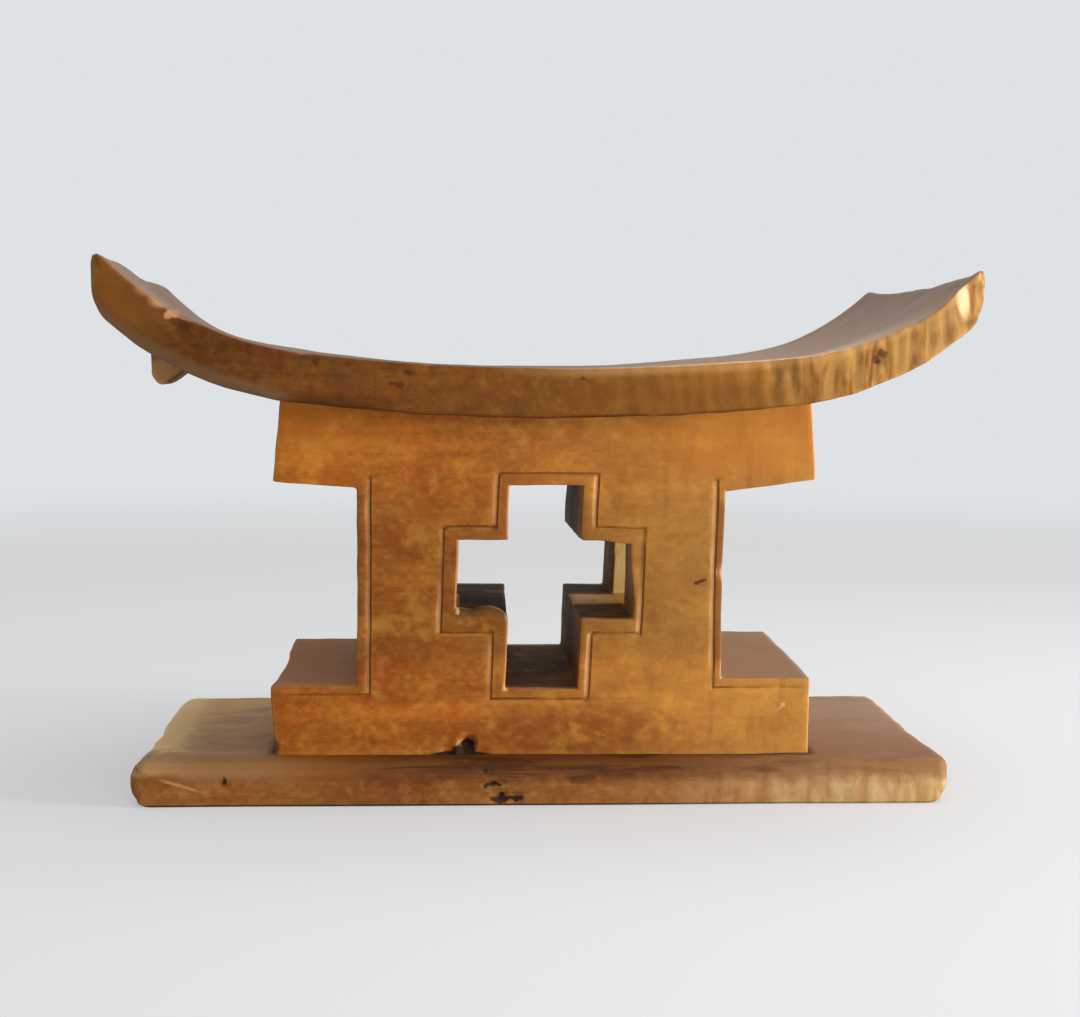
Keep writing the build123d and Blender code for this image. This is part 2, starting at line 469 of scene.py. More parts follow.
def shade_seat_top(wood, top, patches):
    """A dull brown top, a little glossy, with a painted sheen that makes it pale right of the middle, most
    of all at its front.
    """
    painted_sheen_patch = wood.between(wood.across, -0.06, 0.15) * wood.between(0.28 - wood.across, 0.0, 0.14)
    dust_and_painted_light = wood.blend(tone(116, 84, 58), tone(92, 58, 42), wood.between(patches, 0.5, 0.7) * 0.5)
    near_front = wood.between(-0.07 - wood.depth + wood.mottle * 0.02, 0.0, 0.05)
    # painted sheen: the pale patch stands in for light glancing off the top
    dust_and_painted_light = wood.blend(dust_and_painted_light, tone(186, 148, 106), painted_sheen_patch * 0.55)
    dust_and_painted_light = wood.blend(dust_and_painted_light, tone(240, 204, 158), painted_sheen_patch * near_front * 0.6)
    wood.lay(dust_and_painted_light, top * (0.6 + wood.mottle * 0.3))
    wood.set("Coat Weight", top * (0.14 + patches * 0.2))
    wood.set("Coat Roughness", 0.3)


def shade_underside(wood, to_right):
    """Darker below, greyer at the left where a painted highlight lies on the pared underside, and the lug's
    own pale wood.
    """
    below = wood.between(-0.08 - wood.facing("Z"), 0.0, 0.5)
    # painted highlight: greyer on the pared underside at the left
    on_left = wood.between(-0.158 - wood.across + wood.mottle * 0.02, 0.0, 0.025)
    under_tone = wood.blend(tone(74, 40, 12), tone(124, 96, 72), on_left)
    wood.lay(under_tone, below * (0.35 + wood.mottle * 0.45) * (1 - to_right))
    shaded_side = wood.between(wood.facing("X"), -0.1, 0.5)
    wood.mark(wood.blend(tone(186, 142, 88), tone(110, 74, 36), shaded_side), LUG_WOOD, 0.1, 0.6, 0.8)


def seat_finish():
    """Dark brown wood, rubbed smooth, with golden adze cuts along the front edge's right half."""
    grain = tone(113, 65, 9), tone(84, 46, 5), tone(60, 28, 5)
    wood = Wood("seat_wood", *grain, worn=tone(132, 82, 29))
    front = wood.front()
    top = wood.between(wood.facing("Z"), 0.35, 0.75)
    to_right = wood.between(wood.across + wood.mottle * 0.06, 0.13, 0.22)
    patches = wood.cloud((26, 20, 40), detail=2)
    shade_seat_front(wood, front)
    shade_adze_cuts(wood, front, to_right, patches)
    shade_left_tip(wood, front)
    wood.mark(tone(62, 28, 10), SEAT_HOLES, 0.1, 0.9, 0.7)
    shade_seat_top(wood, top, patches)
    wood.mark(tone(132, 74, 36), TIP_STREAK, 0.0, 1.0, 0.7)
    # painted shadow under the notch's chip
    wood.mark(tone(84, 38, 14), NOTCH_SHADOW_LINE, 0.1, 0.8, 0.8)
    # painted highlight on the right tip's facet, and a small chip
    wood.mark(tone(240, 206, 158), TIP_CHIP_AND_HIGHLIGHT, 0.0, 1.3, 0.85)
    # painted light on the notch's chip, weaker on the top
    wood.mark(tone(214, 154, 106), NOTCH_PAINTED_LIGHT, 0.1, 1.0, 0.65 - top * 0.4)
    shade_underside(wood, to_right)
    return wood.done()


# ---------------- the base's wood

BASE_HOLES = [
    (-38, -101.5, 22, (4.4, 10, 2.4), 0.7),
    (-34, -101.5, 14, (7.4, 10, 2.4)),
    (-29, -101.5, 5.4, (8, 10, 3.4)),
    (-19, -101.5, 4.8, (7, 10, 2.6)),
    (-202.7, -101.5, 16, (3.4, 10, 3.6), 0.8),
]


def worn_left_end(wood):
    """Where the left end is worn down to pale wood."""
    outward = wood.between(wood.facing("Z") - wood.facing("X"), 0.3, 0.8)
    at_end = wood.between(-0.222 - wood.across + wood.mottle * 0.02, 0.0, 0.034)
    return at_end * outward * wood.between(wood.depth + wood.mottle * 0.03, -0.07, -0.045)


def shade_base_front(wood, front):
    """Pale cuts along the right of the front edge."""
    to_right = wood.between(wood.across + wood.mottle * 0.1, 0.07, 0.31)
    cuts = wood.cloud((70, 6, 26), detail=4, rough=0.6, swirl=0.9)
    pale = wood.blend(tone(164, 124, 74), tone(202, 174, 126), wood.between(cuts, 0.3, 0.7))
    wood.lay(pale, front * to_right * 0.85)


def shade_base_top(wood, worn_end):
    """Dust and painted light on the top: yellow at the left, made paler there to lift the support's shadow,
    pinker at the right, and paler towards the back.
    """
    backwards = wood.between(wood.depth + wood.mottle * 0.02, -0.08, 0.06)
    top = wood.between(wood.facing("Z") + wood.mottle * 0.2, 0.25, 0.6)
    patches = wood.cloud((22, 40, 30), detail=4, rough=0.6, swirl=0.5)
    # painted light: the left is paler to lift the shadow that the support casts there
    left_dust = wood.blend(tone(178, 142, 97), tone(246, 200, 136), backwards)
    right_dust = wood.blend(tone(150, 112, 84), tone(174, 148, 120), backwards)
    dust_and_painted_light = wood.blend(left_dust, right_dust, wood.between(wood.across, -0.2, 0.2))
    dust_and_painted_light = wood.blend(dust_and_painted_light, tone(146, 104, 72), wood.between(patches, 0.46, 0.66) * 0.4)
    wood.lay(dust_and_painted_light, top * (1 - worn_end) * wood.clean * (0.5 + wood.mottle * 0.4))


def shade_trodden_strip(wood):
    """The rounded front of the top, trodden to bare brown wood with dark streaks."""
    near_front = wood.between(-0.074 - wood.depth, 0.0, 0.008)
    strip = near_front * wood.between(wood.height + wood.mottle * 0.012, 0.019, 0.027)
    strip = strip * wood.between(wood.across + wood.mottle * 0.02, -0.25, -0.2)
    beyond = wood.between(wood.across, 0.06, 0.2)
    level = beyond * wood.between(wood.facing("Z"), 0.8, 0.97)
    trodden = wood.blend(tone(142, 100, 62), tone(124, 70, 20), wood.between(wood.across, -0.2, -0.13))
    trodden = wood.blend(trodden, tone(92, 47, 8), wood.between(wood.across, -0.15, -0.08))
    trodden = wood.blend(trodden, tone(134, 94, 56), beyond)
    wood.lay(trodden, strip * (1 - level) * 0.88)
    streaks = wood.between(wood.cloud((16, 90, 150), detail=4, rough=0.6, swirl=0.6), 0.44, 0.62)
    streaks = streaks * wood.between(wood.across, -0.14, -0.07) * (1 - beyond * 0.7)
    wood.lay(tone(60, 30, 7), strip * streaks * 0.75)


def shade_scuff(wood, front):
    """A short pale scratch that slants down the front edge near its left end."""
    off_line = wood.height + (wood.across + 0.229) * 0.31 - 0.0147 + wood.mottle * 0.0012
    scuff = wood.between(off_line, -0.0016, -0.0002) * wood.between(0 - off_line, -0.0016, -0.0002)
    scuff = scuff * wood.between(wood.across, -0.245, -0.236)
    scuff = scuff * wood.between(-0.210 - wood.across, 0.0, 0.016)
    wood.lay(tone(216, 170, 106), front * scuff * 0.4)


def base_finish():
    """Brown wood, roughly dressed, yellow where its left end is worn."""
    grain = tone(146, 92, 42), tone(118, 71, 28), tone(84, 48, 16)
    wood = Wood("base_wood", *grain, worn=tone(174, 126, 70))
    worn_end = worn_left_end(wood)
    wood.lay(tone(248, 208, 142), worn_end * 0.9)
    front = wood.front()
    shade_base_front(wood, front)
    shade_base_top(wood, worn_end)
    shade_trodden_strip(wood)
    wood.mark(tone(24, 13, 8), BASE_HOLES, 0.15, 0.75, 0.88)
    shade_scuff(wood, front)
    return wood.done()


# ---------------- carving toolkit

PLANK_RADIUS = 1.8 * MM


def smooth(low, high, value):
    """0 below low, 1 above high and smooth between them; it falls where low is the greater."""
    share = min(max((value - low) / (high - low), 0.0), 1.0)
    return share * share * (3 - 2 * share)


def ramp(low, high, length):
    """As smooth, for a length in metres between two lengths in millimetres."""
    return smooth(low * MM, high * MM, length)


def everything(bm):
    return bm.verts[:] + bm.edges[:] + bm.faces[:]


def cut(bm, axis, place):
    """Cuts the whole mesh with a plane across one axis, without taking anything away."""
    normal = Vector((0, 0, 0))
    normal[axis] = 1
    bmesh.ops.bisect_plane(bm, geom=everything(bm), dist=1e-7, plane_co=normal * place, plane_no=normal)


def plank(low, high):
    """A block between two corners."""
    bm = bmesh.new()
    middle = (low + high) / 2
    size = Matrix.Diagonal((*(high - low), 1))
    bmesh.ops.create_cube(bm, size=1, matrix=Matrix.Translation(middle) @ size)
    return bm


def round_edges(bm, chosen, radius, segments):
    """Rounds the edges that chosen(edge) picks."""
    edges = [edge for edge in bm.edges if chosen(edge)]
    bmesh.ops.bevel(
        bm, geom=edges, offset=radius, segments=segments, profile=0.5, affect="EDGES", material=-1,
        clamp_overlap=True,
    )


def round_off(first, second, first_edge, second_edge, radius):
    """Moves a point of a block's square corner on to a quarter round; returns its two new places."""
    past_first = abs(first) - (first_edge - radius)
    past_second = abs(second) - (second_edge - radius)
    if past_first <= 0 or past_second <= 0:
        return first, second
    pull = 1 - max(past_first, past_second) / math.hypot(past_first, past_second)
    first -= math.copysign(past_first * pull, first)
    second -= math.copysign(past_second * pull, second)
    return first, second


def middle_of(edge):
    return (edge.verts[0].co + edge.verts[1].co) / 2


def cut_into_blocks(bm, spacing):
    """Cuts the mesh across all three axes at even places, so that no wide face is left."""
    for axis in range(3):
        places = [vert.co[axis] for vert in bm.verts]
        low, high = min(places), max(places)
        count = math.ceil((high - low) / spacing)
        for step in range(1, count):
            cut(bm, axis, low + (high - low) * step / count)


def too_long(bm, longest):
    return [edge for edge in bm.edges if edge.calc_length() > longest]


def refine(bm, longest):
    """Halves the edges that are too long, until the mesh is fine enough to carve."""
    cut_into_blocks(bm, longest * 4)
    edges = too_long(bm, longest)
    while edges:
        bmesh.ops.subdivide_edges(bm, edges=edges, cuts=1, use_grid_fill=True)
        edges = too_long(bm, longest)


def carve(bm, shift):
    """Moves every point by shift(point, normal), worked out before any of them moves."""
    bm.normal_update()
    moves = [shift(vert.co.copy(), vert.normal.copy()) for vert in bm.verts]
    for vert, move in zip(bm.verts, moves):
        vert.co += move


def by_eye(point, size, depth):
    """A slow drift in every direction, as of lines cut by eye."""
    return noise.noise_vector(point / size) * depth


def dished_cuts(point, cell, depth):
    """The height left between shallow dished tool cuts, each about as wide as a cell in millimetres."""
    scaled = Vector([length / (width * MM) for length, width in zip(point, cell)])
    nearest = noise.voronoi(scaled)[0][0]
    return min(nearest * nearest, 0.6) * depth


def flutes(place, width, depth):
    """The height left between upright hollow cuts, side by side, no two as wide or as deep."""
    step = place / width + noise.noise(Vector((place / (4 * width), 3.1, 0.7))) * 1.4
    which = math.floor(step)
    share = step - which
    own_depth = 0.3 + 0.9 * abs(noise.cell(Vector((which + 0.5, 0.5, 9.5))))
    return (0.5 - own_depth * math.sin(math.pi * share) ** 2) * depth


def unevenness(point, size, depth):
    """The height of fine unevenness."""
    return noise.noise(point / size) * depth


def press(point, dents):
    """The sum of local dents, each written in millimetres as (centre, reach, push)."""
    move = Vector((0, 0, 0))
    for centre, reach, push in dents:
        near = (point - Vector(centre) * MM).length / (reach * MM)
        if near < 1:
            move += Vector(push) * MM * (1 - near * near) ** 2
    return move


def pare(point, facets):
    """The way back to flat facets cut off the corners, each (centre, reach, facing) in millimetres."""
    move = Vector((0, 0, 0))
    for centre, reach, facing in facets:
        offset = point - Vector(centre) * MM
        if offset.length < reach * MM:
            out = Vector(facing).normalized()
            move -= out * max(offset.dot(out), 0) * smooth(1, 0.75, offset.length / (reach * MM))
    return move


def from_list(place, points):
    """Reads a value off a list of (place, value), straight between the entries."""
    for (here, value), (there, following) in zip(points, points[1:]):
        if place <= there:
            share = min(max((place - here) / (there - here), 0), 1)
            return value + (following - value) * share
    return points[-1][1]


def mark_wear(bm, passes):
    """Stores how far each point, in millimetres, stands proud of its smoothed surroundings."""
    soft = bm.copy()
    for _ in range(passes):
        bmesh.ops.smooth_vert(
            soft, verts=soft.verts[:], factor=0.5, use_axis_x=True, use_axis_y=True, use_axis_z=True
        )
    bm.normal_update()
    layer = bm.verts.layers.float.new("wear")
    for vert, rounded in zip(bm.verts, soft.verts):
        vert[layer] = (vert.co - rounded.co).dot(vert.normal) / MM
    soft.free()


def mark_dirt_and_painted_light(bm, dirt_and_painted_light):
    """Stores dirt_and_painted_light(point, normal): -1 for painted light, 0 clean, 1 for dirt and painted
    shade, and up to 1.6 for painted deep shadow in black.
    """
    bm.normal_update()
    layer = bm.verts.layers.float.new("dirt_and_painted_light")
    for vert in bm.verts:
        vert[layer] = dirt_and_painted_light(vert.co, vert.normal)


def finish_piece(bm, name, material, nodes, dirt_and_painted_light, sharp_angle=34):
    """Turns carved bmesh into a piece of the stool that stands for the nodes it covers."""
    mark_wear(bm, passes=5)
    mark_dirt_and_painted_light(bm, dirt_and_painted_light)
    mesh = bpy.data.meshes.new(name)
    bm.to_mesh(mesh)
    bm.free()
    mesh.shade_smooth()
    mesh.set_sharp_from_angle(angle=math.radians(sharp_angle))
    mesh.materials.append(material)
    piece = bpy.data.objects.new(name, mesh)
    bpy.context.scene.collection.objects.link(piece)
    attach(piece, "root")
    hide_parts(*nodes)


# ---------------- seat

SEAT_MIDDLE_X = (SEAT_LOW.x + SEAT_HIGH.x) / 2
SEAT_HALF_LENGTH = (SEAT_HIGH.x - SEAT_LOW.x) / 2
SEAT_HALF_DEPTH = (SEAT_HIGH.y - SEAT_LOW.y) / 2
SEAT_UNDERSIDE = SEAT_LOW.z + 3.9 * MM
SEAT_THICKNESS = 29.7 * MM
SEAT_CORNER_RADIUS = 6 * MM
SEAT_FINENESS = 2.6 * MM
MIDDLE_RISE = 8 * MM
TOP_BEND, UNDER_BEND = 145 * MM, 150 * MM
LEFT_TIP_RISE, RIGHT_TIP_RISE, UNDER_RISE = 70.8 * MM, 67.5 * MM, 62.5 * MM
PARED_SHARE, PARED_DEPTH = 0.34, 5.5 * MM

# Each list gives places along the seat, or from its front to its back, and a depth there, in millimetres.
DISH = [(-270, 0), (-200, 2.5), (0, 4), (190, 4.5), (258, 6.5)]
FRONT_DIP = [
    (110, 0), (164, 1.8), (193, 3.2), (207, 4.0), (222, 5.4), (234, 6.4), (245, 5.0), (251, 4.0),
    (262, 0.8),
]
RIGHT_SAG = [
    (-133, 0), (-95, 0.2), (-83, 0.2), (-58, 1.7), (-17, 2.8), (16, 1.6), (52, 1.3), (100, 0.6),
    (133, 0),
]
LEFT_SAG = [(-133, 0), (-80, 0), (-30, 0.8), (20, 2.2), (50, 2.6), (85, 1.4), (110, 0.3), (133, 0)]

SEAT_FACETS = [
    ((250, -132.2, 320), 15, (0.16, -1, 0.02)),
    ((202, -131, 270), 6, (0.1, -0.6, -0.8)),
]
SEAT_DENTS = [
    ((198, -133, 286), 7, (0, 2.6, 0)),
    ((-144, -133, 280.6), 4, (0, 1.4, 0)),
    ((-88, -133, 274), 4, (0, 1.4, 0)),
    ((-75, -133, 278), 5, (0, 0.4, -0.8)),
    ((-222, -133, 305), 11, (0, 2.4, -2.6)),
    ((-231, -133, 309), 9, (0, 1.8, -1.6)),
    ((223, -133, 308), 5, (-0.6, 1.6, -1.8)),
    ((-150, -133, 287), 7, (0, 0.8, -0.9)),
]


def long_curve(x, bend, tip_rise):
    """Height of a seat curve above its middle: a gentle middle arc, then a tighter arc to the tip."""
    x = abs(x)
    if x <= bend:
        return MIDDLE_RISE * (x / bend) ** 2
    start = math.atan(2 * MIDDLE_RISE / bend)
    run = SEAT_HALF_LENGTH - bend
    climb = tip_rise - MIDDLE_RISE
    radius = math.hypot(run, climb) / (2 * math.sin(math.atan2(climb, run) - start))
    steep = min(math.sin(start) + (x - bend) / radius, 0.98)
    return MIDDLE_RISE + radius * (math.cos(start) - math.sqrt(1 - steep * steep))


def seat_drop(x):
    """How much lower the seat's back edge lies than its front edge: it twists down at the left tip."""
    left = ramp(-165, -250, x)
    right = ramp(145, 210, x)
    return (2.7 + 12.5 * left + 3.3 * right) * MM


def underside_level(x, y):
    """Height of the seat's underside over a point of the floor."""
    back_share = (y + SEAT_HALF_DEPTH) / (2 * SEAT_HALF_DEPTH)
    level = SEAT_UNDERSIDE - seat_drop(x) * back_share
    return level + long_curve(x - SEAT_MIDDLE_X, UNDER_BEND, UNDER_RISE)


def top_level(x, y):
    """Height of the seat's dished top over a point of the floor."""
    along = x - SEAT_MIDDLE_X
    back_share = (y + SEAT_HALF_DEPTH) / (2 * SEAT_HALF_DEPTH)
    level = SEAT_UNDERSIDE - seat_drop(x) * back_share
    tip_rise = LEFT_TIP_RISE if along < 0 else RIGHT_TIP_RISE
    across = y / SEAT_HALF_DEPTH
    dish = from_list(x / MM, DISH) * MM * (1 - across * across) * smooth(1.0, 0.86, abs(across))
    dip = from_list(x / MM, FRONT_DIP) * MM * smooth(-0.35, -0.97, across)
    sag = from_list(y / MM, RIGHT_SAG if x > 0 else LEFT_SAG) * MM * ramp(222, 256, abs(x))
    return level + SEAT_THICKNESS + long_curve(along, TOP_BEND, tip_rise) - dish - dip - sag


def seat_bend(point, normal):
    """Bends the flat plank into the seat, with its lower front edge pared away on the left."""
    x, y, z = point
    x, y = round_off(x, y, SEAT_HALF_LENGTH, SEAT_HALF_DEPTH, SEAT_CORNER_RADIUS)
    nose = 9.5 * MM if z < 0 else (9.5 - 5 * ramp(-115, -40, y)) * MM
    x, z = round_off(x, z, SEAT_HALF_LENGTH, SEAT_THICKNESS / 2, nose)
    x += SEAT_MIDDLE_X
    x -= 0.4 * MM * ramp(-225, -270, x)
    x += (0.8 - 3.8 * ramp(0, 133, y)) * MM * ramp(205, 258, x)
    share = (z + SEAT_THICKNESS / 2) / SEAT_THICKNESS
    under = underside_level(x, y)
    top = top_level(x, y)
    lower = max(PARED_SHARE - share, 0) / PARED_SHARE
    pared = PARED_DEPTH * lower ** 2 * ramp(-95, -130, x) * ramp(-110, -128, y)
    return Vector((x, y + pared, under + (top - under) * share)) - point


def seat_work(point, normal):
    """Tool marks of the seat: adze flutes round its edge, hollows below, a rubbed top."""
    front = smooth(0.5, 0.9, -normal.y)
    back = smooth(0.5, 0.9, normal.y)
    below = smooth(0.4, 0.8, -normal.z)
    above = smooth(0.4, 0.8, normal.z)
    end = smooth(0.5, 0.9, abs(normal.x))
    to_right = 0.12 + 0.33 * ramp(-30, 60, point.x) + 0.55 * ramp(80, 150, point.x)
    slant = point.x + 0.12 * (point.z - 0.27) + 4 * MM * noise.noise(point / (16 * MM))
    height = flutes(slant, 11 * MM, 1.2 * MM) * to_right * front
    height += flutes(slant + 0.4, 13 * MM, 0.9 * MM) * back
    height += flutes(point.y, 13 * MM, 0.9 * MM) * end
    height += dished_cuts(point, (26, 19, 40), 1.6 * MM) * below
    height += dished_cuts(point, (60, 30, 60), 0.7 * MM) * above
    height += unevenness(point, 9 * MM, 0.16 * MM)
    move = by_eye(point + Vector((0.3, 0, 0)), 70 * MM, 1.0 * MM) + normal * height
    return move + press(point, SEAT_DENTS) + pare(point + move, SEAT_FACETS)


def seat_stain(point, normal):
    """Darker under the seat, and dull patches on the left of its front edge."""
    below = smooth(0.3, 0.8, -normal.z) * 0.45
    dull = noise.noise(point / (30 * MM)) * ramp(60, -40, point.x) * smooth(0.4, 0.8, -normal.y)
    return min(max(below + dull * 0.6, 0), 1)


def carved_seat(material):
    """A plank with rounded edges, bent into the seat's curve and then worked over with the adze."""
    half = Vector((SEAT_HALF_LENGTH, SEAT_HALF_DEPTH, SEAT_THICKNESS / 2))
    bm = plank(-half, half)
    round_edges(bm, lambda edge: True, PLANK_RADIUS, 3)
    refine(bm, SEAT_FINENESS)
    layer = bm.verts.layers.float.new("share")
    for vert in bm.verts:
        vert[layer] = vert.co.z / SEAT_THICKNESS + 0.5
    carve(bm, seat_bend)
    carve(bm, seat_work)
    finish_piece(bm, "carved_seat", material, ["seat"], seat_stain, sharp_angle=60)


# ---------------- lug

LUG_INSET = 1.5 * MM
LUG_OVERLAP = 6 * MM
LUG_RADIUS = 3.5 * MM
LUG_FINENESS = 1.8 * MM


def lug_outline():
    """The lug from the front: plumb outside, a rounded nose, a sloping lower edge, its top in the seat."""
    left, right = LUG_LOW.x, LUG_HIGH.x - 7.5 * MM
    return [
        (left, LUG_HIGH.z + LUG_OVERLAP),
        (left, LUG_LOW.z + 2 * MM),
        (left + 6 * MM, LUG_LOW.z - 4 * MM),
        (left + 12 * MM, LUG_LOW.z - 3.5 * MM),
        (right, LUG_LOW.z + 6 * MM),
        (right, LUG_LOW.z + 20 * MM),
    ]


def lug_work(point, normal):
    """Small cuts all over the lug."""
    height = dished_cuts(point, (10, 12, 10), 1.0 * MM)
    return by_eye(point, 18 * MM, 0.8 * MM) + normal * (height - 0.3 * MM)


def carved_lug(material):
    """A tongue under the seat's left end, drawn back from its outline, rounded and lightly cut."""
    bm = bmesh.new()
    corners = [bm.verts.new((x, LUG_LOW.y + LUG_INSET, z)) for x, z in lug_outline()]
    drawn = bmesh.ops.extrude_face_region(bm, geom=[bm.faces.new(corners)])["geom"]
    back = [item for item in drawn if isinstance(item, bmesh.types.BMVert)]
    depth = LUG_HIGH.y - LUG_LOW.y - 2 * LUG_INSET
    bmesh.ops.translate(bm, verts=back, vec=(0, depth, 0))
    bmesh.ops.recalc_face_normals(bm, faces=bm.faces[:])
    round_edges(bm, lambda edge: middle_of(edge).z < LUG_HIGH.z, LUG_RADIUS, 4)
    bmesh.ops.dissolve_degenerate(bm, dist=0.02 * MM, edges=bm.edges[:])
    refine(bm, LUG_FINENESS)
    carve(bm, lug_work)
    finish_piece(bm, "carved_lug", material, ["seat_lug"], lambda point, normal: 0.0)


# ---------------- support

SUPPORT_FRONT, SUPPORT_BACK = PLINTH_LOW.y, PLINTH_HIGH.y
STEP_TOP = PLINTH_HIGH.z
CAP_UNDERSIDE = CAP_LOW.z
CAP_TOP = CAP_HIGH.z
STEM_LEFT, STEM_RIGHT = LEFT_POST_HIGH.x, RIGHT_POST_LOW.x
STEM_FLOOR, STEM_CROWN = 71 * MM, 203 * MM
ARM_LEFT, ARM_RIGHT = -56.5 * MM, 57 * MM
ARM_SILL, ARM_HEAD = 117 * MM, 167.5 * MM
TUNNEL_HALF_WIDTH = 33 * MM
SEAT_OVERLAP = 3 * MM
NEARLY = 1e-5
LEFT_FLARE, RIGHT_FLARE = 4 * MM, 7.5 * MM
FLARE_START, FLARE_LENGTH = 117 * MM, 55 * MM
SUPPORT_RADIUS = 1.3 * MM
SUPPORT_FINENESS = 3.6 * MM

GROOVE_LEFT, GROOVE_RIGHT, GROOVE_HALF_HEIGHT = 3.2 * MM, 1.3 * MM, 1.7 * MM
GROOVE_DEPTH = 1.5 * MM
CROSS_LINE_X = (-66.3 * MM, -33.3 * MM, 30.6 * MM, 62.4 * MM)
CROSS_LINE_Z = (64 * MM, 107.5 * MM, 175.5 * MM, 211.5 * MM)
POST_LINE_X = (-111.8 * MM, 109 * MM)
POST_LINE_Z = (69.5 * MM, 208 * MM)

SUPPORT_DENTS = [
    ((-50, -82, 34), 8, (0, 6, 0)),
    ((-62, -82, 29), 8, (0, 2.5, 0)),
    ((-40, -82, 29), 7, (0, 2, 0)),
    ((114.5, -82, 147), 6, (-1.6, 1.2, 0)),
    ((101, -82, 141), 4, (0, 1.3, 0)),
    ((-172, -82, 32), 7, (2.2, 1.6, 0)),
    ((-172.5, -82, 70), 26, (-1.8, 0, 0)),
    ((-172.5, -5, 76), 45, (1.6, 0, 0)),
    ((-23.5, -82, 71), 5, (-1.0, 0.8, -0.8)),
]
SILL_WAVE = [
    (-57, 7.0), (-52, 6.2), (-48, 5.4), (-43, 6.8), (-39, 7.8), (-34, 7.2), (-29, 5.4), (-24.5, 1.4),
    (-22, 0),
]


def cross_line():
    """The incised line round the cross, as the corners of a closed outline."""
    far_left, left, right, far_right = CROSS_LINE_X
    foot, sill, head, crown = CROSS_LINE_Z
    return [
        (left, foot), (right, foot), (right, sill), (far_right, sill), (far_right, head), (right, head),
        (right, crown), (left, crown), (left, head), (far_left, head), (far_left, sill), (left, sill),
        (left, foot),
    ]


def post_lines():
    """The incised lines beside each recess: down the post and out along the step."""
    foot, crown = POST_LINE_Z
    left, right = POST_LINE_X
    return [
        [(left, crown), (left, foot), (PLINTH_LOW.x + 9 * MM, foot)],
        [(right, crown), (right, foot), (PLINTH_HIGH.x - 5 * MM, foot)],
    ]


INCISED_LINES = [cross_line(), *post_lines()]


def groove(x, z, corners):
    """Depth, from 0 to 1, of a line of straight runs: upright ones slope gently on their left wall."""
    deepest = 0.0
    for (start_x, start_z), (end_x, end_z) in zip(corners, corners[1:]):
        off_x = x - min(max(x, min(start_x, end_x)), max(start_x, end_x))
        off_z = z - min(max(z, min(start_z, end_z)), max(start_z, end_z))
        share_x = off_x / (GROOVE_LEFT if off_x < 0 else GROOVE_RIGHT)
        deepest = max(deepest, 1 - math.hypot(share_x, off_z / GROOVE_HALF_HEIGHT))
    return deepest


def is_open(face):
    """Whether a face of the front outline lies in the cross or in the recess beside a post."""
    x, _, z = face.calc_center_median()
    beside = not LEFT_POST_LOW.x < x < RIGHT_POST_HIGH.x and STEP_TOP < z < CAP_UNDERSIDE
    stem = STEM_LEFT < x < STEM_RIGHT and STEM_FLOOR < z < STEM_CROWN
    arms = ARM_LEFT < x < ARM_RIGHT and ARM_SILL < z < ARM_HEAD
    return beside or stem or arms


def support_outline():
    """The support's front as a flat upright sheet, with the cross and both recesses cut out."""
    bm = bmesh.new()
    stand = Matrix(((1, 0, 0, 0), (0, 0, 1, SUPPORT_FRONT), (0, 1, 0, 0), (0, 0, 0, 1)))
    bmesh.ops.create_grid(bm, x_segments=1, y_segments=1, size=0.5)
    bmesh.ops.scale(bm, vec=(PLINTH_HIGH.x - PLINTH_LOW.x, CAP_TOP - PLINTH_LOW.z, 1), verts=bm.verts[:])
    middle = ((PLINTH_HIGH.x + PLINTH_LOW.x) / 2, (CAP_TOP + PLINTH_LOW.z) / 2, 0)
    bmesh.ops.translate(bm, vec=middle, verts=bm.verts[:])
    bmesh.ops.transform(bm, matrix=stand, verts=bm.verts[:])
    for x in (LEFT_POST_LOW.x, RIGHT_POST_HIGH.x, STEM_LEFT, STEM_RIGHT, ARM_LEFT, ARM_RIGHT):
        cut(bm, 0, x)
    for z in (STEP_TOP, CAP_UNDERSIDE, STEM_FLOOR, STEM_CROWN, ARM_SILL, ARM_HEAD):
        cut(bm, 2, z)
    bmesh.ops.delete(bm, geom=[face for face in bm.faces if is_open(face)], context="FACES")
    return bm


def open_side(bm, outside, inside):
    """Opens the side tunnel through one post, from its outer face to the cross's arm."""
    def in_mouth(face):
        x, y, z = face.calc_center_median()
        on_wall = min(abs(x - outside), abs(x - inside)) < 1e-6
        return on_wall and abs(y) < TUNNEL_HALF_WIDTH and ARM_SILL < z < ARM_HEAD

    mouths = [face for face in bm.faces if in_mouth(face)]
    around = list(dict.fromkeys(edge for face in mouths for edge in face.edges))
    rims = [edge for edge in around if not all(face in mouths for face in edge.link_faces)]
    bmesh.ops.delete(bm, geom=mouths, context="FACES")
    bmesh.ops.bridge_loops(bm, edges=[edge for edge in rims if edge.is_valid])


def support_block():
    """The pierced block: its front outline, drawn back to its full depth and tunnelled sideways."""
    bm = support_outline()
    drawn = bmesh.ops.extrude_face_region(bm, geom=bm.faces[:])["geom"]
    back = [item for item in drawn if isinstance(item, bmesh.types.BMVert)]
    bmesh.ops.translate(bm, vec=(0, SUPPORT_BACK - SUPPORT_FRONT, 0), verts=back)
    bmesh.ops.recalc_face_normals(bm, faces=bm.faces[:])
    cut(bm, 1, -TUNNEL_HALF_WIDTH)
    cut(bm, 1, TUNNEL_HALF_WIDTH)
    for outside, inside in ((LEFT_POST_LOW.x, ARM_LEFT), (RIGHT_POST_HIGH.x, ARM_RIGHT)):
        open_side(bm, outside, inside)
    bmesh.ops.recalc_face_normals(bm, faces=bm.faces[:])
    return bm


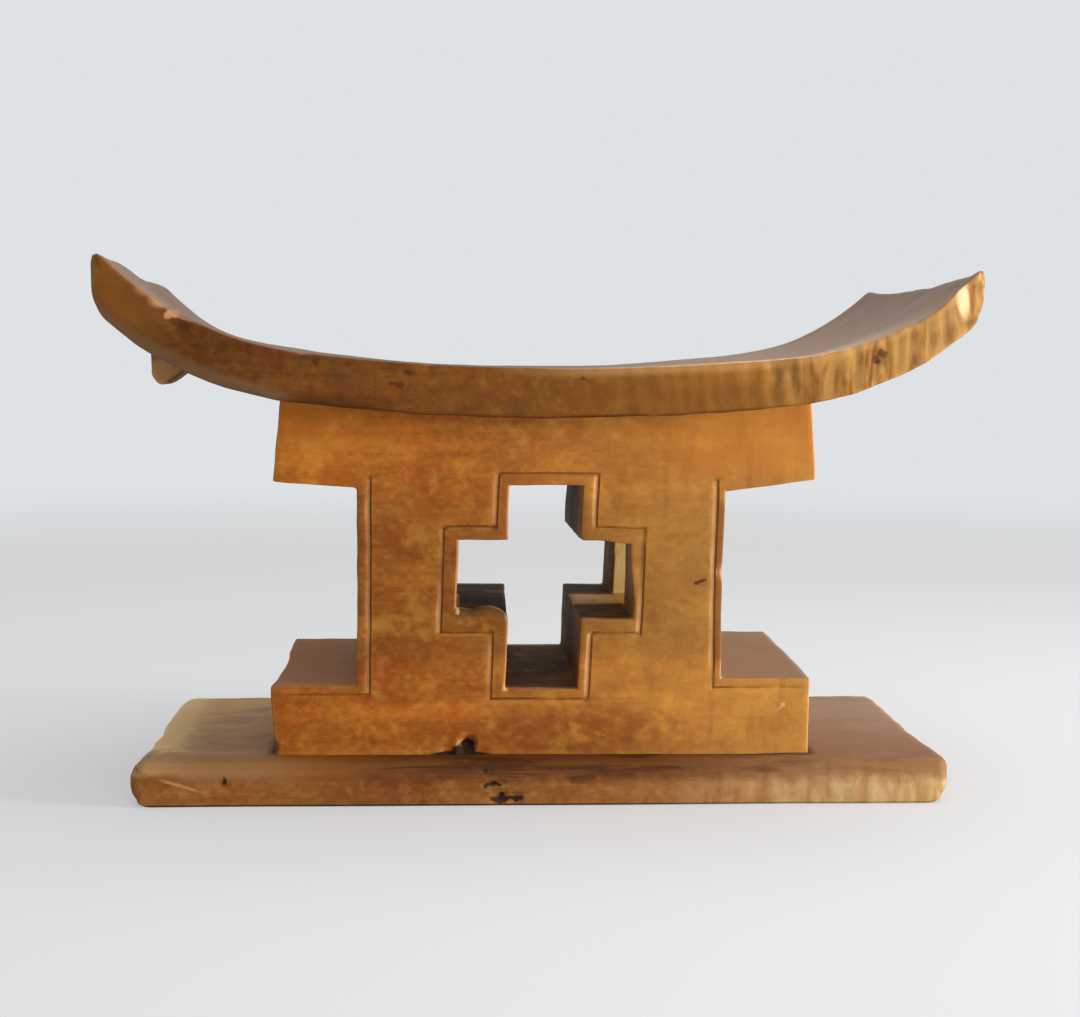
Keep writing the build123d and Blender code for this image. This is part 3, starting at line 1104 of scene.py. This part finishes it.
def support_lines(point, normal):
    """Cuts the incised lines into the front and the back, deeper and shallower as the hand went."""
    if abs(normal.y) < 0.9 or abs(point.y) < SUPPORT_BACK - 2 * MM:
        return Vector((0, 0, 0))
    share = max(groove(point.x, point.z, corners) for corners in INCISED_LINES)
    unsteady = 0.85 + 0.5 * noise.noise(point / (14 * MM))
    unsteady *= 1 - 0.5 * ramp(114, 124, abs(point.x))
    return Vector((0, -math.copysign(share * GROOVE_DEPTH * unsteady, normal.y), 0))


def shift_cross(move, point, back_share):
    """Adds the cross's lean to the right as it rises, and the walls that aren't quite square."""
    x, y, z = point
    near_cross = ramp(96, 60, abs(x)) * ramp(245, 212, z) * ramp(40, 64, z)
    move.x += 0.035 * (z - 138 * MM) * near_cross
    by_stem = ramp(5, 2, abs(abs(x) - STEM_RIGHT))
    move.x -= (2.2 - 1.5 * back_share) * MM * by_stem * ramp(160, 172, z) * ramp(212, 205, z)
    by_arm = ramp(5, 2, abs(x - ARM_RIGHT)) * ramp(108, 116, z) * ramp(176, 168, z)
    move.x -= 4.2 * MM * back_share * by_arm
    move.x -= 3.4 * MM * by_arm * ramp(124, 162, z) * ramp(-42, -76, y)
    on_left = ramp(5, 2, abs(x - STEM_LEFT)) * ramp(125, 118, z)
    move.x += 3.8 * MM * back_share * on_left
    by_head = ramp(9, 2, abs(z - ARM_HEAD)) * ramp(62, 57, abs(x))
    move.z -= 5.6 * MM * back_share * by_head
    move.z -= 2.2 * MM * (1 - back_share) * by_head * ramp(30, 56, x)


def shift_steps(move, point, back_share):
    """Adds the steps' own heights, lower at the left and higher at the right, and the sunken foot."""
    x, _, z = point
    beside_left = ramp(-100, -117, x)
    beside_right = ramp(98, 112, x)
    step = max(0, 1 - abs(z - STEP_TOP) / (STEP_TOP - PLINTH_LOW.z))
    back_rise = 3 * (beside_left + beside_right) * back_share
    move.z += step * (2.2 * beside_right - 2.8 * beside_left + back_rise) * MM
    move.z -= 2.5 * MM * ramp(33, 28.5, z)


def shift_cap(move, point):
    """Adds the cap bar's fit to the seat's curve and the lift of its underside towards both ends."""
    x, y, z = point
    share = min(max((z - CAP_UNDERSIDE) / (CAP_TOP - CAP_UNDERSIDE), 0), 1)
    target = underside_level(x, y) + SEAT_OVERLAP
    lift = LEFT_FLARE if x < 0 else RIGHT_FLARE
    outward = max(abs(x) - FLARE_START, 0) / FLARE_LENGTH
    move.z += (target - CAP_TOP) * share + lift * outward * (1 - share)
    move.x -= x * 0.026 * share


def support_bend(point, normal):
    """Leans the cross, sets the two steps at their own heights, and lifts and flares the cap."""
    move = Vector((0, 0, 0))
    back_share = (point.y - SUPPORT_FRONT) / (SUPPORT_BACK - SUPPORT_FRONT)
    shift_cross(move, point, back_share)
    shift_steps(move, point, back_share)
    if point.z > CAP_UNDERSIDE - 5 * MM:
        shift_cap(move, point)
    return move


def support_work(point, normal):
    """Scraper marks, lines cut by eye, the raised lip of the left arm's sill and the knot hole."""
    move = by_eye(point, 85 * MM, 1.1 * MM) + by_eye(point * 1.3, 24 * MM, 0.3 * MM)
    near_sill = ramp(9, 1.5, abs(point.z - ARM_SILL)) * ramp(-54, -72, point.y)
    if near_sill > 0 and -62 * MM < point.x < -20 * MM:
        move.z += from_list(point.x / MM, SILL_WAVE) * MM * near_sill * ramp(-62, -57, point.x)
    height = dished_cuts(point, (30, 30, 22), 0.5 * MM)
    height += unevenness(point, 8 * MM, 0.12 * MM)
    return move + normal * (height - 0.2 * MM) + press(point, SUPPORT_DENTS)


def beside_line(x, z):
    """Whether a point of the front lies between an incised line and the edge that the line follows."""
    far_left, left, right, far_right = CROSS_LINE_X
    foot, sill, head, crown = CROSS_LINE_Z
    upright = left < x < right and foot < z < crown
    arms = far_left < x < far_right and sill < z < head
    margin = not POST_LINE_X[0] < x < POST_LINE_X[1] and STEP_TOP - 4 * MM < z < CAP_UNDERSIDE
    return upright or arms or margin


def opening_dirt_and_painted_light(point, normal):
    """Dirt and painted shade on the walls of the cross, darker further back; painted deep shadow in black
    on its left sill and painted light on a strip of its right sill.
    """
    x, y, z = point
    if normal.z < 0.5:
        # walls: dirt and painted shade, darker further back from the front
        return 0.15 + 0.25 * ramp(-76, -54, y) + 0.33 * ramp(-50, 10, y)
    above_floor = z > STEM_FLOOR + 20 * MM
    if x < STEM_LEFT - 1 * MM and above_floor:
        # painted deep shadow on the left arm's sill
        return 1.0 + 0.6 * ramp(-66, -58, y) * ramp(40, 24, y)
    if x > STEM_RIGHT - 3 * MM and above_floor:
        # painted light on a strip of the right arm's sill; the rest is dark with dirt and painted shade
        return 0.95 - 1.95 * ramp(-20, -14, y) * ramp(29, 23, y)
    return 0.82


def in_tunnel(point):
    """Whether a point lies on the walls of the side tunnel, clear of its two mouths."""
    beyond_wall = abs(point.y) > TUNNEL_HALF_WIDTH + 1.5 * MM
    past_mouth = abs(point.x) > ARM_RIGHT + (1.5 if beyond_wall else -1.2) * MM
    beside = abs(point.y) < TUNNEL_HALF_WIDTH + 5 * MM and abs(point.x) < RIGHT_POST_HIGH.x - 1 * MM
    return past_mouth and beside and ARM_SILL - 4 * MM < point.z < ARM_HEAD + 4 * MM


def support_dirt_and_painted_light(point, normal):
    """Dirt and painted shade inside the cross, dirt beside the incised lines, dirt and painted contact
    shadow at the foot, a darker lip on the left arm's sill, and painted light in the side tunnel.
    """
    if in_tunnel(point):
        # painted light in the side tunnel
        return -1
    inside = ramp(79, 73, abs(point.y)) * ramp(64, 60, abs(point.x))
    inside *= ramp(64, 68, point.z) * ramp(210, 205, point.z)
    if inside > 0:
        return inside * opening_dirt_and_painted_light(point, normal)
    # a darker band on the left arm's lip, and dirt with painted contact shadow at the plinth's foot
    lip = ramp(-59, -55, point.x) * ramp(-20, -26, point.x)
    lip *= ramp(117, 120, point.z) * ramp(131, 127, point.z)
    foot = max(0.35 * ramp(33, 28.5, point.z), 0.78 * lip)
    on_front = smooth(SUPPORT_BACK - 4 * MM, SUPPORT_BACK - 2 * MM, abs(point.y))
    margin = 0.26 * on_front if beside_line(point.x, point.z) else 0
    return max(foot, margin)


def carved_support(material):
    """Cap bar, posts and plinth in one carving, with incised lines on its front and its back."""
    bm = support_block()
    low, high = PLINTH_LOW.z + NEARLY, CAP_TOP - NEARLY

    def is_corner(edge):
        return edge.calc_face_angle(0) > 1 and low < middle_of(edge).z < high

    round_edges(bm, is_corner, SUPPORT_RADIUS, 2)
    for line in CROSS_LINE_X + POST_LINE_X:
        for place in (line - GROOVE_LEFT, line, line + GROOVE_RIGHT):
            cut(bm, 0, place)
    for line in CROSS_LINE_Z + POST_LINE_Z:
        for place in (line - GROOVE_HALF_HEIGHT, line, line + GROOVE_HALF_HEIGHT):
            cut(bm, 2, place)
    refine(bm, SUPPORT_FINENESS)
    carve(bm, support_lines)
    carve(bm, support_bend)
    carve(bm, support_work)
    nodes = ["cap_bar", "left_post", "right_post", "plinth"]
    finish_piece(bm, "carved_support", material, nodes, support_dirt_and_painted_light)


# ---------------- base

PLAN_RADIUS = 9 * MM
TOP_LEFT_RADIUS, TOP_RIGHT_RADIUS, TOP_FRONT_RADIUS, TOP_BACK_RADIUS = 11 * MM, 6 * MM, 11.5 * MM, 7 * MM
FOOT_LEFT_RADIUS, FOOT_RIGHT_RADIUS, FOOT_SIDE_RADIUS = 13 * MM, 14.2 * MM, 3 * MM
BASE_FINENESS = 3.2 * MM

# Each list gives places from front to back and how far the end is worn in there, in millimetres.
LEFT_END = [
    (-96, -1.6), (-80, -0.8), (-62, 0), (-44, 2.2), (-28, 1.2), (-5, 3.4), (22, 0.6), (51, 1),
    (86, 1.4), (100, 3),
]
RIGHT_END = [
    (-96, -1), (-84, -0.8), (-64, -0.4), (-50, 0.6), (-36, 0.6), (-16, 2), (4, 0.8), (18, 1.8),
    (30, 1.2), (52, 1), (68, 1.4), (88, 0.4), (100, 2),
]
BASE_DENTS = [
    ((-38, -101.5, 22), 4, (0, 2.0, 0)),
    ((-34, -101.5, 14), 5, (0, 2.0, 0)),
    ((-29, -101.5, 5.5), 7, (0, 3.0, 0)),
    ((-19, -101.5, 4.8), 6, (0, 2.4, 0)),
    ((-202.7, -101.5, 16), 4, (0, 1.8, 0)),
]


def base_rounding(point, normal):
    """Rounds the board: its plan's corners, its top all round, and most of all its right foot."""
    x, y, z = point
    half_x, half_y = BASE_HIGH.x, BASE_HIGH.y
    half_z = (BASE_HIGH.z - BASE_LOW.z) / 2
    z -= half_z
    x, y = round_off(x, y, half_x, half_y, PLAN_RADIUS)
    if z > 0:
        x, z = round_off(x, z, half_x, half_z, TOP_LEFT_RADIUS if x < 0 else TOP_RIGHT_RADIUS)
        y, z = round_off(y, z, half_y, half_z, TOP_FRONT_RADIUS if y < 0 else TOP_BACK_RADIUS)
    else:
        x, z = round_off(x, z, half_x, half_z, FOOT_LEFT_RADIUS if x < 0 else FOOT_RIGHT_RADIUS)
        y, z = round_off(y, z, half_y, half_z, FOOT_SIDE_RADIUS)
    return Vector((x, y, z + half_z)) - point


def base_work(point, normal):
    """Wavy worn ends, a rough front edge and a foot kept flat on the floor."""
    move = by_eye(point + Vector((0, 0.2, 0)), 80 * MM, 0.9 * MM)
    move.z *= ramp(2, 12, point.z)
    wave = from_list(point.y / MM, LEFT_END if point.x < 0 else RIGHT_END) * MM
    move.x -= wave * math.copysign(1, point.x) * ramp(190, 256, abs(point.x))
    front = smooth(0.5, 0.9, -normal.y)
    to_right = 0.25 + 0.75 * ramp(20, 120, point.x)
    above = smooth(0.5, 0.9, normal.z)
    height = flutes(point.x + 0.7, 10 * MM, 0.8 * MM) * front * to_right
    height += flutes(point.x + 0.2, 14 * MM, 0.8 * MM) * smooth(0.5, 0.9, normal.y)
    height += dished_cuts(point, (40, 26, 50), 0.8 * MM) * above
    height += unevenness(point, 9 * MM, 0.15 * MM)
    height *= ramp(0, 3, point.z)
    return move + normal * height + press(point, BASE_DENTS)


def base_dirt_and_contact_shadow(point, normal):
    """Dirt and painted contact shadow round the foot of the support, and painted contact shadow along the
    floor.
    """
    outside_x = max(abs(point.x) - PLINTH_HIGH.x, 0)
    outside_y = max(abs(point.y) - PLINTH_HIGH.y, 0)
    dirt_and_shadow_by_foot = 0.8 * ramp(9, 0, math.hypot(outside_x, outside_y)) * smooth(0.5, 0.8, normal.z)
    painted_shadow_by_floor = 0.9 * ramp(2.5, 0.5, point.z)
    return max(dirt_and_shadow_by_foot, painted_shadow_by_floor)


def carved_base(material):
    """The base board: worn corners, wavy ends and a heavily rounded right foot."""
    bm = plank(BASE_LOW, BASE_HIGH)
    round_edges(bm, lambda edge: True, PLANK_RADIUS, 3)
    refine(bm, BASE_FINENESS)
    carve(bm, base_rounding)
    carve(bm, base_work)
    finish_piece(bm, "carved_base", material, ["base_board"], base_dirt_and_contact_shadow)


# ---------------- room

FLOOR_RADIUS = 3.0
FADE_START, FADE_END = 0.9, 2.4
STOOL_MIDDLE = (0, 0, 0.15)


def floor_finish():
    """Matt and pale, half its own light where it is seen, and fading out far from the stool."""
    finish = Finish("floor")
    finish.set("Base Color", (0.76, 0.76, 0.76, 1))
    finish.set("Roughness", 0.9)
    finish.set("Specular IOR Level", 0.1)
    lit = Value(finish, finish.shader.outputs[0])
    even = finish.node("ShaderNodeEmission", None, {"Color": (0.78, 0.79, 0.80, 1), "Strength": 1.0})
    seen = finish.node("ShaderNodeLightPath", output="Is Camera Ray")
    surface = finish.node("ShaderNodeMixShader", None, {0: seen * 0.5, 1: lit, 2: even})
    far = finish.between(finish.vector_math("LENGTH", finish.place, output="Value"), FADE_START, FADE_END)
    clear = finish.node("ShaderNodeBsdfTransparent")
    surface = finish.node("ShaderNodeMixShader", None, {0: far, 1: surface, 2: clear})
    finish.feed(finish.tree.nodes["Material Output"].inputs["Surface"], surface)
    return finish.material


def add_floor():
    """A pale floor that keeps the stool's shadow and melts into the pale surroundings."""
    bm = bmesh.new()
    bmesh.ops.create_circle(bm, cap_ends=True, segments=96, radius=FLOOR_RADIUS)
    mesh = bpy.data.meshes.new("floor")
    bm.to_mesh(mesh)
    bm.free()
    mesh.materials.append(floor_finish())
    floor = bpy.data.objects.new("floor", mesh)
    bpy.context.scene.collection.objects.link(floor)


def add_surroundings():
    """A pale world: light grey where it is seen or mirrored, and a soft even light on the stool."""
    world = bpy.data.worlds.new("surroundings")
    bpy.context.scene.world = world
    world.use_nodes = True
    nodes = Nodes(world.node_tree)
    glow = nodes.tree.nodes["Background"]
    nodes.feed(glow.inputs["Color"], (0.96, 0.98, 1.0, 1))
    nodes.feed(glow.inputs["Strength"], 0.4)
    seen = nodes.node("ShaderNodeBackground", None, {"Color": (0.74, 0.76, 0.78, 1), "Strength": 1.0})
    direct = nodes.node("ShaderNodeLightPath", output="Is Camera Ray")
    mirrored = nodes.node("ShaderNodeLightPath", output="Is Glossy Ray")
    either = direct.math("MAXIMUM", direct, mirrored)
    mix = nodes.node("ShaderNodeMixShader", None, {0: either, 1: Value(nodes, glow.outputs[0]), 2: seen})
    nodes.feed(nodes.tree.nodes["World Output"].inputs["Surface"], mix)


def add_lamp(name, place, size, watts, colour):
    """A square lamp that shines at the stool's middle."""
    lamp = bpy.data.objects.new(name, bpy.data.lights.new(name, "AREA"))
    bpy.context.scene.collection.objects.link(lamp)
    lamp.data.shape = "SQUARE"
    lamp.data.size = size
    lamp.data.energy = watts
    lamp.data.color = colour
    lamp.location = place
    lamp.rotation_euler = (Vector(STOOL_MIDDLE) - Vector(place)).to_track_quat("-Z", "Y").to_euler()


def add_lights():
    """A strong lamp low on the right, a broad weaker one in front and a broad one overhead."""
    add_lamp("side_lamp", (1.55, -0.52, 0.38), 0.36, 29, (1.0, 0.97, 0.93))
    add_lamp("front_lamp", (0.4, -1.6, 0.36), 1.0, 11, (1.0, 0.98, 0.95))
    add_lamp("top_lamp", (0.2, 0.1, 1.7), 1.4, 13, (0.97, 0.98, 1.0))


# ---------------- the scene

add_camera()
seat_wood = seat_finish()
carved_seat(seat_wood)
carved_lug(seat_wood)
carved_support(support_finish())
carved_base(base_finish())
add_floor()
add_surroundings()
add_lights()
bpy.context.scene.view_settings.view_transform = "Standard"
